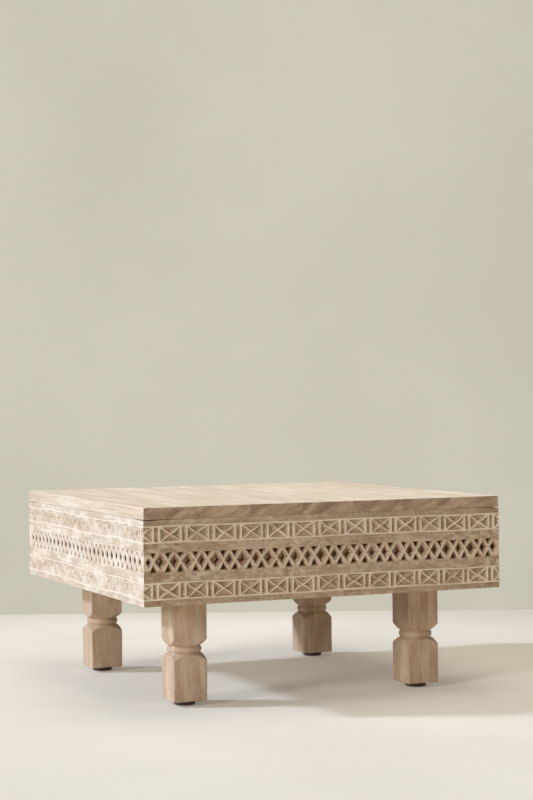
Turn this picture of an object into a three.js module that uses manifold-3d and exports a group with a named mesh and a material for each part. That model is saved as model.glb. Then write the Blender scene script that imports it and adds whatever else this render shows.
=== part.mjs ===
// A low square table of the bajot kind: a planked top on a box of carved and pierced boards,
// carried by four turned legs that stand on screw-in glides.
// Millimetres, +Z up. The origin is on the floor under the middle of the table, and the front faces -Y.
import * as THREE from "three";
import { mergeVertices } from "three/addons/utils/BufferGeometryUtils.js";
import Module from "manifold-3d";

// Sizes shared by the whole table
const tableSide = 914; // outside of the carved box, the same both ways
const seatGap = 0.3; // glue line or dry fit between two pieces that touch
const overrun = 2; // how far every cutter runs past the face it cuts

// Top: boards that run front to back, edge to edge
const topThickness = 27;
const topInset = 2.5; // the top stands back from the carved box by this
const boardCount = 7;

// Carved boards round the box, in rows from the bottom edge up
const apronThickness = 20;
const edgeStrip = 13.3; // plain strip along the bottom and the top edge
const bandHeight = 40; // carved band
const middleStrip = 19.7; // plain strip between a carved band and the lattice
const latticeHeight = 48;
const stripRecess = 1.5; // the plain strips lie this far behind the carved bands
const mitreGap = 0.4; // taken off the length of each board for the mitre's glue line

// Chip carving in the bands: crossed cells between pairs of upright bars
const bayCount = 14; // pairs of bars along one side
const cornerOverhang = 5; // the end cells are centred this far past the corners
const upperBandShift = 4; // the upper band's cells lie this far to the right of the lower band's
const borderWidth = 4; // raised line along the top and the bottom of a band
const barSpacing = 14.3; // between the two bars of a pair
const barWidth = 4.6;
const ridgeWidth = 3.4; // crossed ridges
const chipDepth = 6;
const shallowChipDepth = 4.6; // chips above and below the crossing
const chipApexShare = 0.66; // where a chip is deepest, from its point to its base
const grooveDepth = 4.5; // between the two bars of a pair

// Pierced lattice: a row of crosses with a diamond between each two, set in pairs on the front and
// the back, and evenly on the sides
const frontCrosses = { start: 25, pairSpacing: 30, pitch: 66.1 }; // from the board's left end
const sideCrosses = { start: 10.5, pairSpacing: 32.8, pitch: 65.6 };
const latticeMargin = 5.5; // plain wood left at a corner
const clearCross = 16; // a cross nearer the corner than this has no triangles beside it
const leastDiamond = 12; // a narrower diamond at a corner is left out
const waistHalf = 3; // half the wood left at a crossing
const crossRise = 2; // the crosses lie this far above the middle of the lattice
const diamondHalfHeight = 18;
const triangleHalfWidth = 11;
const triangleRise = 5; // from a crossing to the point of its triangle
const triangleBorder = 1; // from a triangle's base to the edge of the lattice
const triangleApexShare = 0.62; // where a triangle narrows to, from its point to its base
const openingBackShare = 0.5; // size of an opening at the back of the board, of that at its face

// Legs: one square billet each, turned at the middle
const legSide = 83;
const legInset = 111.5; // from the outside of the box to the leg
const legLength = 249.2; // with the end that stands inside the box
const legSocket = 12; // how far the legs reach up inside the box
const beadHeight = 119; // middle of the turned bead, from the foot of the leg
const beadRadius = 40.4;
const beadHalf = 7;
const neckRadius = 37.8;
const neckHalf = 8.8; // the shoulders start this far from the bead's middle
const beadShares = [-1, -0.5, 0, 0.5, 1]; // heights on the bead's curve
const shoulderHeight = 18.5;
const shoulderBulgeShare = { out: 0.48, along: 0.4 }; // the shoulder is a little full
const turnedSides = 16;

// Bearers that carry the legs, and the blocks that tie the box to them
const bearerWidth = 130;
const bearerThickness = 28;
const ledgerSize = 26;
const cornerBlockLeg = 46;
const cornerBlockHeight = 50;

// Cleats and battens under the top
const cleatSize = 24;
const battenWidth = 60;
const battenThickness = 20;
const battenSpacing = 440;

// Hanger bolt, washer and nut that hold each leg
const boltRadius = 5;
const boltInLeg = 45;
const boltSlack = 0.4; // between a bolt and its hole
const boltTail = 5; // thread that shows above the nut
const washerRadius = 14;
const washerThickness = 2;
const nutRadius = 9.8;
const nutThickness = 8;
const nutSides = 6;
const boltSides = 8;

// Glide: a moulded pad on a threaded stem, which runs in an insert sunk in the foot of the leg
const glideRadius = 25;
const glideHeight = 11;
const glideChamfer = 2.5;
const stemRadius = 4;
const stemLength = 31;
const stemInPad = 6;
const stemSlack = 0.25; // the stem turns in the insert, and both have flat sides
const stemSides = 12;
const insertRadius = 7;
const insertLength = 18;
const insertFlangeRadius = 10.5;
const insertFlange = 1.6;
const glideSides = 16;
const insertSides = 8;

// Colours, roughness and metalness
const finish = (color, roughness, metalness) =>
  new THREE.MeshStandardMaterial({ color, roughness, metalness });
const topWood = finish(0xd3b99c, 0.72, 0);
const carvedWood = finish(0xbfa284, 0.8, 0);
const legWood = finish(0xc6a98b, 0.76, 0);
const frameWood = finish(0xc9ad8c, 0.85, 0);
const zincSteel = finish(0xb9bcc0, 0.4, 1);
const insertBrass = finish(0xb08d4f, 0.45, 1);
const glidePlastic = finish(0x2b2825, 0.6, 0);

// Levels and reaches that follow from those sizes
const halfTable = tableSide / 2;
const apronHeight = 2 * (edgeStrip + bandHeight + middleStrip) + latticeHeight;
const footLevel = glideHeight + seatGap;
const legTop = footLevel + legLength;
const apronBottom = legTop - legSocket;
const apronTop = apronBottom + apronHeight;
const topLevel = apronTop + seatGap;
const innerHalf = halfTable - apronThickness - seatGap;
const legAxis = halfTable - legInset - legSide / 2;
const bearerBottom = legTop + seatGap;
const bearerTop = bearerBottom + bearerThickness;

const wasm = await Module();
wasm.setup();

// A closed geometry as a solid that can be cut and joined
function toSolid(geometry) {
  const bare = geometry.clone();
  bare.deleteAttribute("normal");
  bare.deleteAttribute("uv");
  const merged = mergeVertices(bare);
  return new wasm.Manifold(
    new wasm.Mesh({
      numProp: 3,
      vertProperties: new Float32Array(merged.attributes.position.array),
      triVerts: new Uint32Array(merged.index.array),
    }),
  );
}

// The solid's surface as a geometry
function toGeometry(solid) {
  const { vertProperties, triVerts, numProp } = solid.getMesh();
  const geometry = new THREE.BufferGeometry();
  const positions = new THREE.InterleavedBuffer(vertProperties, numProp);
  geometry.setAttribute("position", new THREE.InterleavedBufferAttribute(positions, 3, 0));
  geometry.setIndex(new THREE.BufferAttribute(triVerts, 1));
  const flat = geometry.toNonIndexed();
  flat.computeVertexNormals();
  return flat;
}

// What is left of a body once the cutters are taken away
function cut(body, cutters) {
  const tools = wasm.Manifold.union(cutters.map(toSolid));
  return toGeometry(toSolid(body).subtract(tools));
}

// A closed skin from points and triangles
function skin(points, faces) {
  const geometry = new THREE.BufferGeometry();
  geometry.setAttribute("position", new THREE.Float32BufferAttribute(points.flat(), 3));
  geometry.setIndex(faces);
  return geometry;
}

const box = (width, depth, height) => new THREE.BoxGeometry(width, depth, height);

// An upright cylinder on the z axis between two heights
function rod(radius, bottom, top, sides) {
  return new THREE.CylinderGeometry(radius, radius, top - bottom, sides)
    .rotateX(Math.PI / 2)
    .translate(0, 0, (bottom + top) / 2);
}

const table = new THREE.Group();

function add(name, geometry, material, [x, y, z], parent = table) {
  const mesh = new THREE.Mesh(geometry, material);
  mesh.name = name;
  mesh.position.set(x, y, z);
  parent.add(mesh);
  return mesh;
}

// Top boards
function addTop() {
  const topSide = tableSide - 2 * topInset;
  const pitch = (topSide + seatGap) / boardCount;
  for (let i = 0; i < boardCount; i += 1) {
    const x = (i - (boardCount - 1) / 2) * pitch;
    const board = box(pitch - seatGap, topSide, topThickness);
    add(`top_board_${i + 1}`, board, topWood, [x, 0, topLevel + topThickness / 2]);
  }
}

// In a carved board's own frame x runs along it, y from its face into the wood, z up from its bottom
// edge. An outline on the face is a list of [x, z], counterclockwise as seen from outside.

// A cutter that runs in from an outline and narrows to one point at a depth
function spike(outline, [x, z], depth) {
  const grow = (depth + overrun) / depth;
  const mouth = outline.map(([a, b]) => [x + (a - x) * grow, -overrun, z + (b - z) * grow]);
  const tip = outline.length;
  const faces = [];
  for (let i = 0; i < tip; i += 1) {
    faces.push(i, tip, (i + 1) % tip);
    if (i > 0 && i + 1 < tip) {
      faces.push(0, i, i + 1);
    }
  }
  return skin([...mouth, [x, depth, z]], faces);
}

// A cutter for an upright groove, hipped at both ends
function grooveCutter(x, z, halfWidth, halfHeight) {
  const grow = (overrun * halfWidth) / grooveDepth;
  const w = halfWidth + grow;
  const h = halfHeight + grow;
  const ridge = halfHeight - halfWidth;
  const points = [
    [x - w, -overrun, z - h],
    [x + w, -overrun, z - h],
    [x + w, -overrun, z + h],
    [x - w, -overrun, z + h],
    [x, grooveDepth, z - ridge],
    [x, grooveDepth, z + ridge],
  ];
  return skin(points, [
    [0, 1, 2],
    [0, 2, 3],
    [0, 4, 1],
    [1, 4, 5],
    [1, 5, 2],
    [2, 5, 3],
    [3, 5, 4],
    [3, 4, 0],
  ].flat());
}

// The four chips of one crossed cell, centred on [x, z]
function crossedCell(x, z, halfWidth, halfHeight) {
  const diagonal = Math.hypot(halfWidth, halfHeight);
  const up = ((ridgeWidth / 2) * diagonal) / halfWidth;
  const side = ((ridgeWidth / 2) * diagonal) / halfHeight;
  const baseX = ((halfHeight - up) * halfWidth) / halfHeight;
  const baseZ = ((halfWidth - side) * halfHeight) / halfWidth;
  const deepZ = up + (halfHeight - up) * chipApexShare;
  const deepX = side + (halfWidth - side) * chipApexShare;
  const above = [
    [x, z + up],
    [x + baseX, z + halfHeight],
    [x - baseX, z + halfHeight],
  ];
  const below = [
    [x, z - up],
    [x - baseX, z - halfHeight],
    [x + baseX, z - halfHeight],
  ];
  const right = [
    [x + side, z],
    [x + halfWidth, z - baseZ],
    [x + halfWidth, z + baseZ],
  ];
  const left = [
    [x - side, z],
    [x - halfWidth, z + baseZ],
    [x - halfWidth, z - baseZ],
  ];
  return [
    spike(above, [x, z + deepZ], shallowChipDepth),
    spike(below, [x, z - deepZ], shallowChipDepth),
    spike(right, [x + deepX, z], chipDepth),
    spike(left, [x - deepX, z], chipDepth),
  ];
}

// One carved band whose lower edge is at z = bottom, its cells moved along by a shift
function bandCutters(bottom, shift) {
  const pitch = (tableSide + 2 * cornerOverhang) / bayCount;
  const start = -halfTable - cornerOverhang + shift;
  const z = bottom + bandHeight / 2;
  const halfHeight = bandHeight / 2 - borderWidth;
  const cellHalf = (pitch - barSpacing - barWidth) / 2;
  const grooveHalf = (barSpacing - barWidth) / 2;
  const cutters = [];
  for (let i = 0; i <= bayCount; i += 1) {
    cutters.push(...crossedCell(start + i * pitch, z, cellHalf, halfHeight));
  }
  for (let i = 0; i < bayCount; i += 1) {
    cutters.push(grooveCutter(start + (i + 1 / 2) * pitch, z, grooveHalf, halfHeight));
  }
  return cutters;
}

// The places of the crosses along a lattice
function crossPlaces({ start, pairSpacing, pitch }) {
  const nearest = latticeMargin + waistHalf;
  const places = [];
  for (let x = start - pairSpacing; x < tableSide; x += pitch) {
    places.push(x, x + pairSpacing);
  }
  return places
    .filter((x) => x > nearest && x < tableSide - nearest)
    .map((x) => x - halfTable);
}

// An opening that narrows towards the back of the board
const funnel = (outline, aim) => spike(outline, aim, apronThickness / (1 - openingBackShare));

// The diamond between two heights of wood
function diamond(left, right, z) {
  const middle = (left + right) / 2;
  const outline = [
    [left, z],
    [middle, z - diamondHalfHeight],
    [right, z],
    [middle, z + diamondHalfHeight],
  ];
  return funnel(outline, [middle, z]);
}

// The triangle above a crossing (way 1) or below it (way -1)
function crossTriangle(x, way) {
  const middle = apronHeight / 2;
  const point = middle + crossRise + way * triangleRise;
  const base = middle + way * (latticeHeight / 2 - triangleBorder);
  const outline = [
    [x, point],
    [x + way * triangleHalfWidth, base],
    [x - way * triangleHalfWidth, base],
  ];
  return funnel(outline, [x, point + (base - point) * triangleApexShare]);
}

// Cutters of one lattice. The first and the last diamonds reach into the mitres.
function latticeCutters(layout) {
  const z = apronHeight / 2 + crossRise;
  const crosses = crossPlaces(layout);
  const edge = halfTable - latticeMargin;
  const cutters = [];
  for (const x of crosses) {
    if (Math.abs(x) < halfTable - clearCross) {
      cutters.push(crossTriangle(x, 1), crossTriangle(x, -1));
    }
  }
  const lefts = [-edge, ...crosses.map((x) => x + waistHalf)];
  const rights = [...crosses.map((x) => x - waistHalf), edge];
  for (const [i, left] of lefts.entries()) {
    if (rights[i] - left > leastDiamond) {
      cutters.push(diamond(left, rights[i], z));
    }
  }
  return cutters;
}

// The recess of a plain strip between two heights
function stripCutter(bottom, top) {
  const width = tableSide + 2 * overrun;
  const depth = stripRecess + overrun;
  return box(width, depth, top - bottom).translate(
    0,
    (stripRecess - overrun) / 2,
    (bottom + top) / 2,
  );
}

// The board before carving, with its ends mitred
function mitredBoard() {
  const half = halfTable - mitreGap / 2;
  const inner = half - apronThickness;
  const outline = new THREE.Shape([
    new THREE.Vector2(-half, 0),
    new THREE.Vector2(half, 0),
    new THREE.Vector2(inner, apronThickness),
    new THREE.Vector2(-inner, apronThickness),
  ]);
  return new THREE.ExtrudeGeometry(outline, { depth: apronHeight, bevelEnabled: false });
}

// Those of a neighbour's cutters that reach round the corner, in this board's frame
function fromNeighbour(cutters, way) {
  const reach = halfTable - apronThickness;
  return cutters
    .filter((g) => {
      g.computeBoundingBox();
      return way > 0 ? g.boundingBox.min.x < -reach : g.boundingBox.max.x > reach;
    })
    .map((g) =>
      g
        .clone()
        .translate(0, -halfTable, 0)
        .rotateZ((way * Math.PI) / 2)
        .translate(0, halfTable, 0),
    );
}

function carvedBoard(ownCrosses, neighbourCrosses) {
  const lowerBand = edgeStrip;
  const lattice = lowerBand + bandHeight + middleStrip;
  const upperBand = lattice + latticeHeight + middleStrip;
  const neighbour = latticeCutters(neighbourCrosses);
  return cut(mitredBoard(), [
    stripCutter(-overrun, edgeStrip),
    stripCutter(lowerBand + bandHeight, upperBand),
    stripCutter(upperBand + bandHeight, apronHeight + overrun),
    ...bandCutters(lowerBand, 0),
    ...bandCutters(upperBand, upperBandShift),
    ...latticeCutters(ownCrosses),
    ...fromNeighbour(neighbour, 1),
    ...fromNeighbour(neighbour, -1),
  ]);
}

// The four carved boards, each turned a quarter further round the table
function addAprons() {
  const frontBoard = carvedBoard(frontCrosses, sideCrosses);
  const sideBoard = carvedBoard(sideCrosses, frontCrosses);
  for (const [i, side] of ["front", "right", "back", "left"].entries()) {
    const turned = new THREE.Group();
    turned.rotation.z = (i * Math.PI) / 2;
    table.add(turned);
    const board = i % 2 === 0 ? frontBoard : sideBoard;
    add(`apron_${side}`, board, carvedWood, [0, -halfTable, apronBottom], turned);
  }
}

// Cleats inside the top edge of the box, the long ones on the front and the back
function addCleats() {
  const z = apronTop - cleatSize / 2;
  const place = innerHalf - cleatSize / 2;
  const longCleat = box(2 * innerHalf, cleatSize, cleatSize);
  const shortCleat = box(cleatSize, 2 * (innerHalf - cleatSize - seatGap), cleatSize);
  add("cleat_front", longCleat, frameWood, [0, -place, z]);
  add("cleat_back", longCleat, frameWood, [0, place, z]);
  add("cleat_left", shortCleat, frameWood, [-place, 0, z]);
  add("cleat_right", shortCleat, frameWood, [place, 0, z]);
}

// Battens that keep the top boards flat, between the side cleats
function addBattens() {
  const length = 2 * (innerHalf - cleatSize - seatGap);
  const batten = box(length, battenWidth, battenThickness);
  const z = apronTop - battenThickness / 2;
  add("batten_front", batten, frameWood, [0, -battenSpacing / 2, z]);
  add("batten_back", batten, frameWood, [0, battenSpacing / 2, z]);
}

// Bearers from front to back, drilled for the hanger bolts
function addBearers() {
  const blank = box(bearerWidth, 2 * innerHalf, bearerThickness);
  const reach = bearerThickness / 2 + overrun;
  const drill = rod(boltRadius + boltSlack, -reach, reach, boltSides);
  const bearer = cut(blank, [-1, 1].map((way) => drill.clone().translate(0, way * legAxis, 0)));
  const z = bearerBottom + bearerThickness / 2;
  add("bearer_left", bearer, frameWood, [-legAxis, 0, z]);
  add("bearer_right", bearer, frameWood, [legAxis, 0, z]);
}

// The profile of a turned leg, from its foot up, as [radius, height]
function legProfile() {
  const corner = legSide / Math.SQRT2 + overrun;
  const rise = corner - neckRadius;
  const shoulder = (way) => {
    const neck = beadHeight + way * neckHalf;
    return [
      [neckRadius, neck],
      [
        neckRadius + rise * shoulderBulgeShare.out,
        neck + way * shoulderHeight * shoulderBulgeShare.along,
      ],
      [corner, neck + way * shoulderHeight],
    ];
  };
  const bead = beadShares.map((share) => [
    neckRadius + (beadRadius - neckRadius) * Math.sqrt(1 - share * share),
    beadHeight + share * beadHalf,
  ]);
  return [
    [0, -overrun],
    [corner, -overrun],
    ...shoulder(-1).reverse(),
    ...bead,
    ...shoulder(1),
    [corner, legLength + overrun],
    [0, legLength + overrun],
  ];
}

// The square billet within the turned profile, with its two holes
function legSolid() {
  const points = legProfile().map(([r, z]) => new THREE.Vector2(r, z));
  const turned = new THREE.LatheGeometry(points, turnedSides).rotateX(Math.PI / 2);
  const billet = box(legSide, legSide, legLength).translate(0, 0, legLength / 2);
  const boltFoot = legLength - boltInLeg - boltSlack;
  const stemTop = stemLength - stemInPad + seatGap;
  const insertTop = insertLength + seatGap;
  const flangeTop = insertFlange + seatGap;
  const holes = [
    rod(boltRadius + boltSlack, boltFoot, legLength + overrun, boltSides),
    rod(stemRadius + seatGap, -overrun, stemTop, stemSides),
    rod(insertRadius + seatGap, -overrun, insertTop, insertSides),
    rod(insertFlangeRadius + seatGap, -overrun, flangeTop, insertSides),
  ].map(toSolid);
  const shaped = toSolid(turned).intersect(toSolid(billet));
  return toGeometry(shaped.subtract(wasm.Manifold.union(holes)));
}

// The threaded insert, its flange let into the foot of the leg
function insertSolid() {
  const body = toSolid(rod(insertRadius, 0, insertLength, insertSides));
  const flange = toSolid(rod(insertFlangeRadius, 0, insertFlange, insertSides));
  const bore = toSolid(
    rod(stemRadius + stemSlack, -overrun, insertLength + overrun, stemSides),
  );
  return toGeometry(body.add(flange).subtract(bore));
}

// The glide's pad from the floor up, with a socket for its stem
function padSolid() {
  const socket = glideHeight - stemInPad;
  const profile = [
    [0, 0],
    [glideRadius - glideChamfer, 0],
    [glideRadius, glideChamfer],
    [glideRadius, glideHeight],
    [stemRadius + seatGap, glideHeight],
    [stemRadius + seatGap, socket],
    [0, socket],
  ].map(([r, z]) => new THREE.Vector2(r, z));
  return new THREE.LatheGeometry(profile, glideSides).rotateX(Math.PI / 2);
}

// A washer or a nut on z = 0
function ringSolid(radius, height, sides) {
  const bore = rod(boltRadius + boltSlack, -overrun, height + overrun, boltSides);
  return cut(rod(radius, 0, height, sides), [bore]);
}

// Everything that stands on one leg's axis
function addLegs() {
  const leg = legSolid();
  const insert = insertSolid();
  const pad = padSolid();
  const stem = rod(stemRadius, 0, stemLength - seatGap, stemSides);
  const stemLevel = glideHeight - stemInPad + seatGap;
  const washer = ringSolid(washerRadius, washerThickness, boltSides);
  const nut = ringSolid(nutRadius, nutThickness, nutSides);
  const washerLevel = bearerTop + seatGap;
  const nutLevel = washerLevel + washerThickness + seatGap;
  const boltFoot = legTop - boltInLeg;
  const boltLength = nutLevel + nutThickness + boltTail - boltFoot;
  const bolt = rod(boltRadius, 0, boltLength, boltSides);
  for (const [end, sy] of [["front", -1], ["back", 1]]) {
    for (const [side, sx] of [["left", -1], ["right", 1]]) {
      const corner = `${end}_${side}`;
      const x = sx * legAxis;
      const y = sy * legAxis;
      add(`leg_${corner}`, leg, legWood, [x, y, footLevel]);
      add(`glide_pad_${corner}`, pad, glidePlastic, [x, y, 0]);
      add(`glide_stem_${corner}`, stem, zincSteel, [x, y, stemLevel]);
      add(`glide_insert_${corner}`, insert, insertBrass, [x, y, footLevel]);
      add(`hanger_bolt_${corner}`, bolt, zincSteel, [x, y, boltFoot]);
      add(`washer_${corner}`, washer, zincSteel, [x, y, washerLevel]);
      add(`nut_${corner}`, nut, zincSteel, [x, y, nutLevel]);
    }
  }
}

// Blocks glued into the box: ledgers that sit on the ends of the bearers, and corner blocks
function addBlocks() {
  const ledger = box(bearerWidth, ledgerSize, ledgerSize);
  const ledgerPlace = innerHalf - ledgerSize / 2;
  const ledgerLevel = bearerTop + seatGap + ledgerSize / 2;
  const triangle = new THREE.Shape([
    new THREE.Vector2(0, 0),
    new THREE.Vector2(cornerBlockLeg, 0),
    new THREE.Vector2(0, cornerBlockLeg),
  ]);
  const block = new THREE.ExtrudeGeometry(triangle, {
    depth: cornerBlockHeight,
    bevelEnabled: false,
  });
  const corners = ["front_left", "front_right", "back_right", "back_left"];
  for (const [i, corner] of corners.entries()) {
    const turned = new THREE.Group();
    turned.rotation.z = (i * Math.PI) / 2;
    table.add(turned);
    const place = [-innerHalf, -innerHalf, bearerBottom];
    add(`corner_block_${corner}`, block, frameWood, place, turned);
  }
  for (const [end, sy] of [["front", -1], ["back", 1]]) {
    for (const [side, sx] of [["left", -1], ["right", 1]]) {
      const place = [sx * legAxis, sy * ledgerPlace, ledgerLevel];
      add(`ledger_${end}_${side}`, ledger, frameWood, place);
    }
  }
}

addTop();
addAprons();
addCleats();
addBattens();
addBearers();
addBlocks();
addLegs();

export default table;
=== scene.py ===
import math
import random

import bmesh
import bpy
from mathutils import Matrix, Vector, noise


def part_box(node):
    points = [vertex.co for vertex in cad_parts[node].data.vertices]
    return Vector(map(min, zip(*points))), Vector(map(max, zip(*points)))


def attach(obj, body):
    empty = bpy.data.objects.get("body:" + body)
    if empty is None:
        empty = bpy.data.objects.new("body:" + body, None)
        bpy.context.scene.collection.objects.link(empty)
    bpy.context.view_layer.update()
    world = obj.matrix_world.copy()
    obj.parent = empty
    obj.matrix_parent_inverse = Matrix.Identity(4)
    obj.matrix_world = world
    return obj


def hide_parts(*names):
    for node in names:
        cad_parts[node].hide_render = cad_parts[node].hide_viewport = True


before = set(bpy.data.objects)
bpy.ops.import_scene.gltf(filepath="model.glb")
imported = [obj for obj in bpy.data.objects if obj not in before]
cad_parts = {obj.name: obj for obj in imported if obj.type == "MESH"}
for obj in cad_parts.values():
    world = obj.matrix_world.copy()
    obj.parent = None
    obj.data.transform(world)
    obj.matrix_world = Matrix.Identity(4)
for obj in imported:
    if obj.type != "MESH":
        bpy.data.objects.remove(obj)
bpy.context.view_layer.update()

# Sizes in millimetres, as in the part's source
MM = 0.001
half_table = 457.0
apron_bottom = 248.5
apron_height = 194.0
apron_thickness = 20.0
mitre_gap = 0.2
edge_strip = 13.3
band_height = 40.0
middle_strip = 19.7
lattice_height = 48.0
strip_recess = 1.5

bay_count = 14
corner_overhang = 5.0
upper_band_shift = 4.0
border_width = 3.5
bar_spacing = 14.3
bar_width = 4.0
ridge_width = 2.3
side_chip = (5.6, 1.7)  # depth of a chip, and how flat its floor is
flat_chip = (4.6, 2.4)
low_chip = (3.0, 2.8)
chip_apex_share = 0.66
groove_depth = 4.5

front_crosses = {"start": 25.0, "pair_spacing": 30.0, "pitch": 66.1}
side_crosses = {"start": 10.5, "pair_spacing": 32.8, "pitch": 65.6}
lattice_margin = 5.5
clear_cross = 16.0
least_diamond = 12.0
full_diamond = 27.0  # a narrower diamond is lower too
waist_half = 2.7
cross_rise = 2.0
diamond_half_height = 18.0
triangle_half_width = 9.9
triangle_rise = 5.5
triangle_border = 1.4

leg_side = 83.0
bead_height = 119.0
bead_radius = 40.4
bead_half = 6.8
neck_radius = 36.6
neck_half = 8.8
shoulder_height = 18.5
shoulder_power = 0.8

inner_half = 436.7
leg_axis = 304.0
block_leg = 46.0
bolt_hole = 5.4
screw_head = 4.0
screw_shank = 1.9

# Detail that only the looks have
lattice_arris = 1.7
arris = 0.6  # width of the rounding round every cut in the carved boards
lip = 0.4 * arris  # depth at which a chip's own wall begins
cut_jitter = 0.8  # how far the corners of a chip wander
opening_jitter = 0.6  # and those of an opening
side_points = 5  # points along each side of a chip or an opening
crossing_drift = ((-2.4, 0.2), (-1.4, 0.9))  # how far a cell's crossing wanders, along and up
ridge_spread = (0.7, 1.35)
chip_depth_spread = (0.82, 1.08)
bow = 1.9  # how far a crossed ridge bends
steady_bow = (0.2, 2.0)  # of the ridge that always bends one way
low_apex_shift = -2.5
front_opening = {"size": 0.39, "depth": 7.4}  # where the sloping walls end
side_opening = {"size": 0.52, "depth": 3.2}
opening_back_share = 0.42
low_back_share = 0.2  # the lower triangles rise and close in towards the back
low_hole_lift = 6.0
diamond_lift = 2.0
corner_round = 1.6
blank_steps = 76  # along a board before it is carved
end_inset = 6.0
front_wave = 0.9  # of the borders of the front and back boards
side_wave = 2.2
wave_phase = 1.7
wave_end = 440.0  # from the middle of a board, where its wave has died away
wave_fade = 60.0
wave_depth = 12.0
border_sway = ((31.0, 1.0, 0.3), (83.0, 2.0, 0.7))  # length, turns of the phase, share
border_middle = 1.8  # from the edge of a band to the middle of its border
border_middles = (apron_height / 2 - edge_strip - border_middle,
                  apron_height / 2 - edge_strip - band_height + border_middle)
face_wave = 0.55
seam_opening = 2.6  # gap under the top at the corners
seam_reach = 120.0
turned_reach = 28.5  # how far the turning of a leg goes, from its bead
turned_step = 0.75


def srgb(number):
    """A colour written as 0xrrggbb, as linear light with alpha."""
    parts = [((number >> shift) & 255) / 255 for shift in (16, 8, 0)]
    return [p / 12.92 if p <= 0.04045 else ((p + 0.055) / 1.055) ** 2.4 for p in parts] + [1]


# Materials


class Shade:
    """The nodes of one material, or of the world."""

    def __init__(self, owner):
        owner.use_nodes = True
        self.owner = owner
        self.tree = owner.node_tree
        self.tree.nodes.clear()

    def node(self, kind, inputs=(), out=0, **settings):
        made = self.tree.nodes.new("ShaderNode" + kind)
        for key, value in settings.items():
            setattr(made, key, value)
        for key, value in dict(inputs).items():
            if isinstance(value, bpy.types.NodeSocket):
                self.tree.links.new(value, made.inputs[key])
            else:
                made.inputs[key].default_value = value
        return made.outputs[out]

    def math(self, operation, *operands, clamp=False):
        return self.node("Math", enumerate(operands), operation=operation, use_clamp=clamp)

    def times(self, a, b, plus=None):
        """a times b, plus a third value where one is given."""
        if plus is None:
            return self.math("MULTIPLY", a, b)
        return self.math("MULTIPLY_ADD", a, b, plus)

    def total(self, first, *others):
        for other in others:
            first = self.math("ADD", first, other)
        return first

    def less(self, a, b, clamp=False):
        return self.math("SUBTRACT", a, b, clamp=clamp)

    def share(self, a, b):
        """a divided by b, held between 0 and 1."""
        return self.math("DIVIDE", a, b, clamp=True)

    def size(self, a):
        return self.math("ABSOLUTE", a)

    def vector(self, operation, *operands):
        return self.node("VectorMath", enumerate(operands), operation=operation)

    def noise(self, place, scale, detail=2.0, roughness=0.5):
        spread = self.vector("MULTIPLY", place, scale)
        return self.node("TexNoise", {"Vector": spread, "Scale": 1.0, "Detail": detail,
                                      "Roughness": roughness})

    def step(self, value, low, high, bottom=0.0, top=1.0):
        return self.node("MapRange", {"Value": value, 1: low, 2: high, 3: bottom, 4: top},
                         interpolation_type="SMOOTHSTEP")

    def mix(self, share, a, b, blend="MIX"):
        return self.node("Mix", {0: share, 6: a, 7: b}, out=2, data_type="RGBA", blend_type=blend)

    def seen(self):
        """1 for what is seen straight, in a gloss or through glass, and 0 for light that bounces."""
        total = path = self.node("LightPath")
        for name in ("Is Glossy Ray", "Is Transmission Ray"):
            total = self.math("ADD", total, path.node.outputs[name], clamp=True)
        return total

    def finish(self, surface, kind="Material"):
        out = self.tree.nodes.new("ShaderNodeOutput" + kind)
        self.tree.links.new(surface, out.inputs["Surface"])
        return self.owner


tone_range = (0.74, 1.12)  # of the grain's tone, from brown to pale
from_heart = (0.0, -0.07, 0.04)  # from the heart of the tree to a piece's origin, in metres
ring_waves = 1150.0
fleck_scale = (160.0, 420.0, 420.0)
pore_brown = 0x6b4e38
sawn_brown = 0x8f7355
lime_grey = 0xc6c0ab
stain_brown = 0x91755c
# Colour of the painted shade in the carving's hollows
hollow_shade_brown = 0x806147
fleck_pale = 0xdccbb2
scratch_pale = 0xdccab2


def growth_rings(s, moved):
    """Waves round the heart of the tree, which lies outside the board."""
    bent = s.times(s.noise(moved, (1.6, 9.0, 9.0), 2.0), 0.05)
    cross = s.node("SeparateXYZ", {0: s.vector("ADD", moved, from_heart)}, out=1)
    rise = cross.node.outputs[2]
    away = s.math("SQRT", s.total(s.times(cross, cross), s.times(rise, rise)))
    return s.math("SINE", s.times(s.total(away, bent), ring_waves))


def end_grain(s, moved, rings, tone, colour, ends):
    """Cut ends and long edges in their own colours: dark end, pale end, dark edge, pale edge."""
    dark_end, pale_end, dark_edge, pale_edge = (srgb(number) for number in ends)
    facing = s.node("SeparateXYZ", {0: s.node("TexCoord", out=1)}, out=0)
    end = s.step(s.size(facing), 0.6, 0.9)
    side = s.step(s.size(facing.node.outputs[1]), 0.6, 0.9)
    slanted = s.node("VectorRotate", {"Vector": moved, "Axis": (1.0, 0.0, 0.0), "Angle": 0.45})
    rays = s.noise(slanted, (60.0, 11.0, 48.0), 5.0, 0.68)
    spots = s.step(s.times(rings, 0.025, rays), 0.36, 0.64)
    long_edge = s.mix(s.step(tone, *tone_range), dark_edge, pale_edge)
    colour = s.mix(s.times(side, 0.9), colour, long_edge)
    return s.mix(end, colour, s.mix(spots, dark_end, pale_end))


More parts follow.
